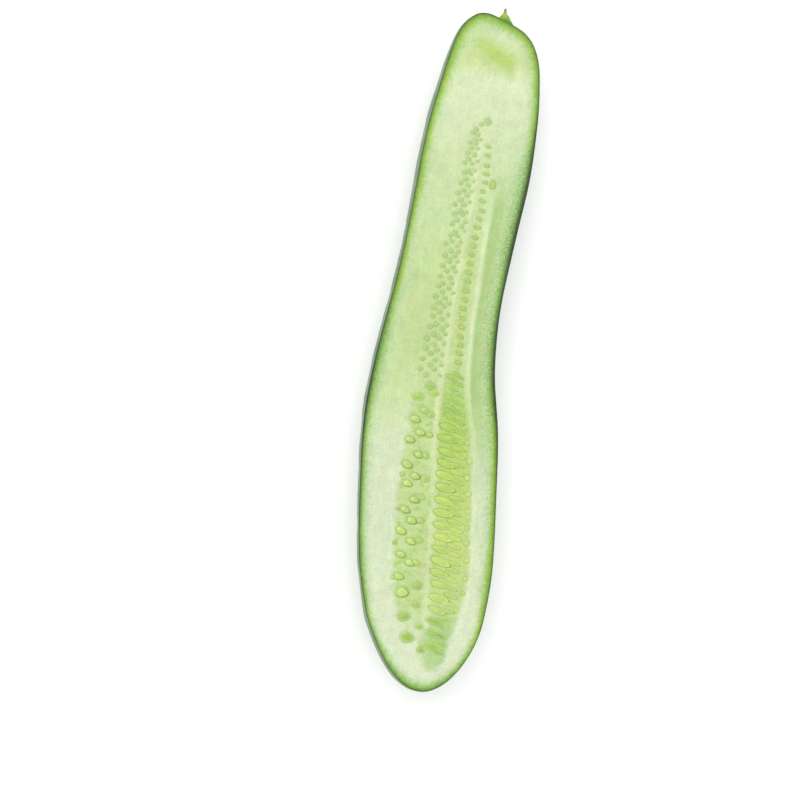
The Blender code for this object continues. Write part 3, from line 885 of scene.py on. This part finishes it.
# Places that follow from others. The first six sums give the bed a ragged edge: its number has to
# rise past the noise before the bed's colour starts.
add_table(tree, parts, SUM, [
    ("bed end", "ADD", "ragged", 0.65),
    ("bed past", "SUBTRACT", "bed", "ragged"),
    ("bed span", "SUBTRACT", "bed end", "ragged"),
    ("bed", "DIVIDE", "bed past", "bed span"),
    ("bed", "MINIMUM", "bed", 1.0),
    ("bed", "MAXIMUM", "bed", 0.0),
    ("ripe bed", "MULTIPLY", "bed", "ripe"),
    ("right bed", "MULTIPLY", "ripe bed", "right_band"),
    ("left bed", "SUBTRACT", "ripe bed", "right bed"),
    ("left blots", "MULTIPLY", "left bed", "blots"),
    ("ripe halo", "MULTIPLY", "halo", "left bed"),
    ("unripe", "SUBTRACT", 1.0, "ripe"),
    ("upper halo", "MULTIPLY", "halo", "unripe"),
    ("off seeds", "SUBTRACT", 1.0, "halo"),
    ("off right", "SUBTRACT", 1.0, "right bed"),
    ("net", "MULTIPLY", "net", "bed"),
    ("net", "MULTIPLY", "net", "off seeds"),
    ("net", "MULTIPLY", "net", "off right"),
    ("cheek", "MULTIPLY", "green_cheek", "past rind"),
    ("specks", "MULTIPLY", "glint", "specks"),
    # from here on this share holds only the pale flecks, which are painted glints
    ("glint", "MULTIPLY", "glint", "sparks"),
    ("rind place", "DIVIDE", "rim", RUN_WIDTHS),
    ("tone", "MULTIPLY", "cells", "strands"),
    ("tone", "MULTIPLY", "tone", "clouds"),
    ("tone", "MULTIPLY", "tone", "drift"),
])
for name, along, run in (
    ("flesh", "station", FLESH_ALONG), ("band", "station", BAND_ALONG),
    ("vessels", "station", STREAK_ALONG), ("green rind", "rind place", RIND_INWARD),
    ("lime rind", "rind place", LIME_INWARD),
):
    parts[name] = add_node(tree, "ShaderNodeValToRGB", {"Fac": parts[along]}, stops=run)
add_table(tree, parts, MIX, [
    ("rind", "lime", "green rind", "lime rind"),
], data_type="RGBA")
# Each coat over the one before: where it lies, how much of it, and its colour
COATS = [
    ("yellow_patch", 0.92, "#AFCC64"), ("pale_patch", 0.60, "#CEDDB5"),
    ("left bed", 0.90, "#BBD287"), ("left blots", 0.70, "#ABC76C"), ("right bed", 0.95, "band"),
    ("green_core", 0.85, "#B3CB76"), ("net", 0.55, "#C9DC9F"), ("upper halo", 0.30, OVULE_GREEN),
    ("ripe halo", 0.30, "#A6C26C"), ("wall", 0.85, "#D1DEA9"), ("streak", 0.90, "vessels"),
    ("rind share", 1.0, "rind"), ("cheek", 1.0, "#A9C67B"), ("specks", 1.0, "#98B674"),
    # the last coat is painted highlight: pale glints of wet cells inside the rind
    ("glint", 1.0, "#CFDFC5"),
]
for where, share, coat in COATS:
    add_table(tree, parts, SUM, [("share", "MULTIPLY", where, share)])
    add_table(tree, parts, MIX, [
        ("flesh", "share", "flesh", coat),
    ], data_type="RGBA")
colour = add_node(tree, "ShaderNodeHueSaturation", {
    "Color": parts["flesh"], "Value": parts["tone"], "Hue": parts["tint"],
})
cell_bump = add_node(tree, "ShaderNodeBump", {
    "Height": cells, "Strength": 0.35, "Distance": 0.12 * MM,
})
shader = add_node(tree, "ShaderNodeBsdfPrincipled", {
    "Base Color": colour, "Roughness": 0.38, "IOR": 1.36, "Normal": cell_bump,
    "Subsurface Weight": 0.3, "Subsurface Radius": (1.0, 1.0, 0.55), "Subsurface Scale": 0.6 * MM,
    "Coat Weight": 0.25, "Coat Roughness": 0.16,
})
add_node(tree, "ShaderNodeOutputMaterial", {"Surface": shader})
print("material:", flesh.name, "with", len(COATS), "coats over the base")

# %% [markdown]
# ## Waxy cucumber rind
#
# The skin is one cell layer with chlorophyll under it and a bloom of wax on it. The wax scatters a
# little white light at grazing angles, so the dark green turns greyish towards the sides, which a
# sheen gives. Ten faint, broken ribs of paler green start at the blossom end and fade by a third
# of the length. Pale breathing pores, drawn 0.5 mm across so that they show, are scattered over it.

# %% Rind material
RIND_ALONG = [
    (0.0, "#8A9A4E"), (0.012, "#6F8A45"), (0.04, "#4F7136"), (0.20, "#42622F"), (0.60, "#3F5E30"),
    (0.93, "#44652F"), (1.0, "#5F7F3A"),
]
RIB_COUNT = 10.0
rind_skin, tree, parts = new_material("waxy dark green cucumber rind", "station", "around")
place = add_node(tree, "ShaderNodeTexCoord", out="Object")
long_place = add_node(tree, "ShaderNodeMapping", {"Vector": place, "Scale": (1.0, 0.12, 1.0)})
add_table(tree, parts, NOISE, [
    ("patches", place, spaced(9), 4.0, 0.62), ("streaks", long_place, spaced(2.2), 3.0),
    ("fine", place, spaced(0.6), 3.0),
])
parts["pores"] = add_node(tree, "ShaderNodeTexVoronoi", {"Vector": place, "Scale": spaced(2.4)})
add_table(tree, parts, SUM, [
    ("ribs", "MULTIPLY", "around", RIB_COUNT), ("ribs", "COSINE", "ribs"),
])
add_table(tree, parts, SLIDE, [
    ("rib fade", "station", 0.02, 0.34, 0.55, 0.0, "SMOOTHSTEP"),
    ("ribs", "ribs", 0.25, 1.1, 0.0, 1.0, "SMOOTHSTEP"),
    ("rib breaks", "streaks", 0.35, 0.65, 1.0, 0.35),
    ("pores", "pores", 0.06, 0.20, 0.26, 0.0),
    ("pale", "patches", 0.38, 0.68, 0.0, 0.55),
    ("dark", "streaks", 0.45, 0.75, 0.0, 0.45),
    ("wax", "patches", 0.3, 0.7, 0.34, 0.52),
])
add_table(tree, parts, SUM, [
    ("ribs", "MULTIPLY", "ribs", "rib fade"), ("ribs", "MULTIPLY", "ribs", "rib breaks"),
])
parts["skin"] = add_node(tree, "ShaderNodeValToRGB", {"Fac": parts["station"]}, stops=RIND_ALONG)
add_table(tree, parts, MIX, [
    ("skin", "pale", "skin", "#57793F"), ("skin", "dark", "skin", "#33502A"),
    ("skin", "ribs", "skin", "#8FA35A"), ("skin", "pores", "skin", "#9DB184"),
], data_type="RGBA")
skin_bump = add_node(tree, "ShaderNodeBump", {
    "Height": parts["fine"], "Strength": 0.35, "Distance": 0.15 * MM,
})
pore_bump = add_node(tree, "ShaderNodeBump", {
    "Height": parts["pores"], "Strength": 0.4, "Distance": 0.1 * MM, "Normal": skin_bump,
})
shader = add_node(tree, "ShaderNodeBsdfPrincipled", {
    "Base Color": parts["skin"], "Roughness": parts["wax"], "IOR": 1.44, "Normal": pore_bump,
    "Sheen Weight": 0.18, "Sheen Roughness": 0.4, "Sheen Tint": "#DCE8DC",
    "Coat Weight": 0.12, "Coat Roughness": 0.25,
})
add_node(tree, "ShaderNodeOutputMaterial", {"Surface": shader})
print("material:", rind_skin.name)

# %% [markdown]
# ## Relief on the cut face and the skin
#
# A knife doesn't leave a perfect plane. Watery tissue round the seeds sinks as it loses juice, the
# wall and the streak of vessels stand a little, and torn cells give a fine grain. The tree measures
# how near each point is to a seed, keeps that as the halo number for the colours, and lifts or
# sinks the cut face by tenths of a millimetre. The skin gets a low wave along its normals. Both
# fade out before the cut edge, so that the edge stays one clean line.

# %% Relief tree
tree, ins, outs = new_tree("cut and skin relief", {
    "Seeds": "Object", "Ovules": "Object", "Halo": "Float", "Sink": "Float", "Vein": "Float",
    "Grain": "Float", "Grain Size": "Float", "Skin Wave": "Float", "Wave Size": "Float",
    "Flesh": "Material", "Rind": "Material",
})
parts = {socket.name: socket for socket in ins}
for name in ("cut", "rim", "wall", "streak"):
    parts[name] = add_node(tree, "GeometryNodeInputNamedAttribute", {"Name": name})
seed_meshes = tree.nodes.new("GeometryNodeJoinGeometry")
for label in ("Seeds", "Ovules"):
    form = add_node(tree, "GeometryNodeObjectInfo", {"Object": ins[label]}, out="Geometry")
    tree.links.new(form, seed_meshes.inputs[0])
parts["from seeds"] = add_node(tree, "GeometryNodeProximity", {
    0: seed_meshes.outputs[0],
}, out="Distance", target_element="FACES")
corner = add_node(tree, "GeometryNodeInputPosition")
parts["up"] = add_node(tree, "ShaderNodeSeparateXYZ", {0: corner}, out="Z")
add_table(tree, parts, SUM, [
    ("grain", "DIVIDE", 1.0, "Grain Size"), ("wave", "DIVIDE", 1.0, "Wave Size"),
])
add_table(tree, parts, ("ShaderNodeTexNoise", "Scale", "Detail"), [
    ("grain", "grain", 2.0), ("wave", "wave", 2.0),
])
# The grain and the wave, the halo round a seed, and where the relief fades out
add_table(tree, parts, SLIDE, [
    ("grain", "grain", 0.25, 0.75, -1.0, 1.0),
    ("wave", "wave", 0.25, 0.75, -1.0, 1.0),
    ("halo", "from seeds", 0.0, "Halo", 1.0, 0.0, "SMOOTHSTEP"),
    ("off edge", "rim", 0.15, 1.2, 0.0, 1.0, "SMOOTHSTEP"),
    ("below cut", "up", (CUT_HEIGHT - 0.2) * MM, (CUT_HEIGHT - 3) * MM, 0.0, 1.0, "SMOOTHSTEP"),
    ("off table", "up", 0.2 * MM, 2.5 * MM, 0.0, 1.0, "SMOOTHSTEP"),
])
add_table(tree, parts, SUM, [
    ("halo", "MULTIPLY", "halo", "cut"),
    ("sink", "MULTIPLY", "Sink", -1.0),
    ("height", "MULTIPLY", "grain", "Grain"),
    ("height", "MULTIPLY_ADD", "halo", "sink", "height"),
    ("height", "MULTIPLY_ADD", "wall", "Vein", "height"),
    ("height", "MULTIPLY_ADD", "streak", "Vein", "height"),
    ("height", "MULTIPLY", "height", "off edge"),
    ("wave", "MULTIPLY", "wave", "below cut"),
    ("wave", "MULTIPLY", "wave", "off table"),
    ("wave", "MULTIPLY", "wave", "Skin Wave"),
])
haloed = add_node(tree, "GeometryNodeStoreNamedAttribute", {
    "Geometry": ins["Mesh"], "Name": "halo", "Value": parts["halo"],
}, data_type="FLOAT", domain="POINT")
upward = add_node(tree, "ShaderNodeCombineXYZ", {"Z": parts["height"]})
normal = add_node(tree, "GeometryNodeInputNormal")
outward = add_node(
    tree, "ShaderNodeVectorMath", {0: normal, "Scale": parts["wave"]}, operation="SCALE"
)
offset = add_node(
    tree, "ShaderNodeMix", {0: parts["cut"], 4: outward, 5: upward}, data_type="VECTOR"
)
moved = add_node(tree, "GeometryNodeSetPosition", {"Geometry": haloed, "Offset": offset})
cut_faces = add_node(tree, "FunctionNodeCompare", {
    0: parts["cut"], 1: 0.1,
}, data_type="FLOAT", operation="GREATER_THAN")
dressed = add_node(tree, "GeometryNodeSetMaterial", {"Geometry": moved, "Material": ins["Rind"]})
dressed = add_node(tree, "GeometryNodeSetMaterial", {
    "Geometry": dressed, "Selection": cut_faces, "Material": ins["Flesh"],
})
tree.links.new(dressed, outs["Mesh"])

grow(body, tree, {
    "Seeds": seeds, "Ovules": ovules, "Halo": 0.6 * MM, "Sink": 0.07 * MM, "Vein": 0.08 * MM,
    "Grain": 0.035 * MM, "Grain Size": 0.9 * MM, "Skin Wave": 0.16 * MM, "Wave Size": 9 * MM,
    "Flesh": flesh, "Rind": rind_skin,
})
body.data.set_sharp_from_angle(angle=math.radians(50))
print("finishes on the body:", [m.name for m in body.data.materials])

# %% [markdown]
# ## The torn stub of the stalk
#
# The stalk that carried the fruit has five ribs of tough fibre. It was pulled off, so only a short
# cone is left, and one strand at its tip has dried. A loft of ribbed rings makes it. The rings
# widen into the fruit at the foot, where the two tissues part, and the last rings draw out to the
# dry strand.

# %% Stub
STALK_ACROSS, STALK_BASE, STALK_DROP, STALK_LEAN = 4.3, 175.5, 3.1, 0.05
STALK_PROFILE = [(0, 2.6), (2.2, 2.5), (3.4, 1.7), (4.4, 1.0), (5.0, 0.5), (6.1, 0.3)]
STALK_RIBS, STALK_RIB_SHARE, STALK_SIDES, STALK_TIP = 5, 0.12, 60, 0.3
STALK_RINGS, FIBRE_DEPTH = 34, 0.05

stalk_end = STALK_PROFILE[-1][0]
stalk_height = CUT_HEIGHT - STALK_DROP
draw = random.Random(RANDOM_SEED)
fibre = [draw.uniform(-FIBRE_DEPTH, FIBRE_DEPTH) for _ in range(STALK_SIDES // 2)]
stub_points = []
for along in np.linspace(0, stalk_end, STALK_RINGS):
    wide, drying = float(curve(STALK_PROFILE, along)), float(ease(2.6, 5.0, along))
    for k in range(STALK_SIDES):
        angle = 2 * math.pi * k / STALK_SIDES
        reach = wide * (1 + STALK_RIB_SHARE * math.cos(STALK_RIBS * angle))
        reach *= 1 + fibre[k // 2] * (0.4 + drying)
        twisted = angle + 0.5 * drying * math.sin(1.7 * along)
        stub_points.append((
            STALK_ACROSS + STALK_LEAN * along + reach * math.sin(twisted),
            STALK_BASE + along,
            stalk_height - reach * math.cos(twisted),
        ))
foot, tip = len(stub_points), len(stub_points) + 1
stub_points.append((STALK_ACROSS, STALK_BASE, stalk_height))
stub_points.append((
    STALK_ACROSS + STALK_LEAN * stalk_end, STALK_BASE + stalk_end + STALK_TIP, stalk_height,
))
stub_faces = ring_faces(0, STALK_RINGS, STALK_SIDES, foot, tip)
stub_points = np.array(stub_points)
stub = mesh_object("stalk_stub", in_place(*stub_points.T), stub_faces, {
    "up_stalk": (stub_points[:, 1] - STALK_BASE) / (stalk_end + STALK_TIP),
})
close_up(stub)
stub.data.shade_smooth()

# %% [markdown]
# ## Fresh fruit stalk
#
# The stub is green and fibrous where it leaves the fruit, yellower where it was torn, and grey
# brown at the dry tip. The colour follows the number up_stalk, and noise stretched along the stalk
# gives the fibres, about 0.3 mm wide as real ones are.

# %% Stalk material
STALK_ALONG = [
    (0.0, "#4F8A22"), (0.48, "#619A26"), (0.60, "#95B638"), (0.74, "#AEC04A"), (0.83, "#A9A65C"),
    (0.90, "#978D7C"), (1.0, "#A69C93"),
]
stalk_skin, tree, parts = new_material("fibrous fresh cucumber stalk", "up_stalk")
colour = add_node(tree, "ShaderNodeValToRGB", {"Fac": parts["up_stalk"]}, stops=STALK_ALONG)
place = add_node(tree, "ShaderNodeTexCoord", out="Object")
along_stalk = add_node(tree, "ShaderNodeMapping", {"Vector": place, "Scale": (1.0, 0.15, 1.0)})
fibres = add_node(tree, "ShaderNodeTexNoise", {
    "Vector": along_stalk, "Scale": spaced(0.6), "Detail": 3.0,
})
add_table(tree, parts, SLIDE, [("tone", fibres, 0.3, 0.7, 0.78, 1.2)])
colour = add_node(tree, "ShaderNodeHueSaturation", {"Color": colour, "Value": parts["tone"]})
fibre_bump = add_node(tree, "ShaderNodeBump", {
    "Height": fibres, "Strength": 0.6, "Distance": 0.2 * MM,
})
shader = add_node(tree, "ShaderNodeBsdfPrincipled", {
    "Base Color": colour, "Roughness": 0.55, "IOR": 1.45, "Normal": fibre_bump,
    "Subsurface Weight": 0.1, "Subsurface Radius": (1.0, 1.0, 0.4), "Subsurface Scale": 0.6 * MM,
})
add_node(tree, "ShaderNodeOutputMaterial", {"Surface": shader})
stub.data.materials.append(stalk_skin)
print("material:", stalk_skin.name)

# %% [markdown]
# ## The table and the light
#
# A plain white table that glows faintly, as a light table does, and a bright even sky stand for
# the light tent of a studio. The glow keeps the ground clean white and the shadow faint. One large
# soft lamp from the upper left adds a direction, so that each seed has a lit side and a shaded
# one. The Standard view keeps the greens as they are written.

# %% Table, sky and lamp
TABLE_SIZE, SKY_STRENGTH = 6.0, 0.78  # the size in metres
LAMP_SIZE, LAMP_WATTS, LAMP_PLACE = 0.8, 4.2, (-0.25, 0.25, 0.9)

bpy.ops.mesh.primitive_plane_add(size=TABLE_SIZE)
table = bpy.context.object
table.name = "table"
table_paint, tree, _ = new_material("plain white table")
shader = add_node(tree, "ShaderNodeBsdfPrincipled", {
    "Base Color": "#FAFAFA", "Roughness": 0.7,
    "Emission Color": "#FFFFFF", "Emission Strength": 0.22,
})
add_node(tree, "ShaderNodeOutputMaterial", {"Surface": shader})
table.data.materials.append(table_paint)

sky = bpy.data.worlds.new("light tent")
sky.use_nodes = True
tent = sky.node_tree.nodes["Background"].inputs
tent["Color"].default_value, tent["Strength"].default_value = linear("#FFFFFF"), SKY_STRENGTH
bpy.context.scene.world = sky

lamp_data = bpy.data.lights.new("soft_box", "AREA")
lamp_data.shape, lamp_data.size, lamp_data.energy = "SQUARE", LAMP_SIZE, LAMP_WATTS
lamp = bpy.data.objects.new("soft_box", lamp_data)
lamp.location = LAMP_PLACE
lamp.rotation_euler = (Vector((0, 0, 0)) - lamp.location).to_track_quat("-Z", "Y").to_euler()
bpy.context.scene.collection.objects.link(lamp)
bpy.context.scene.view_settings.view_transform = "Standard"
print("lamp at", LAMP_PLACE, "watts", LAMP_WATTS)

# %% [markdown]
# ## Handing the pieces over
#
# Nothing on a cucumber moves, so every piece rides on the one body. The skin and flesh with their
# seeds stand for the imported half, and the stub for the imported stalk.

# %% Pieces
for piece, node, slot in (
    (body, "cucumber_half", "cucumber_flesh_and_skin"),
    (seeds, "cucumber_half", "cucumber_flesh_and_skin"),
    (ovules, "cucumber_half", "cucumber_flesh_and_skin"),
    (stub, "stem_stub", "fruit_stalk"),
):
    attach(piece, "root")
    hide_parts(node)
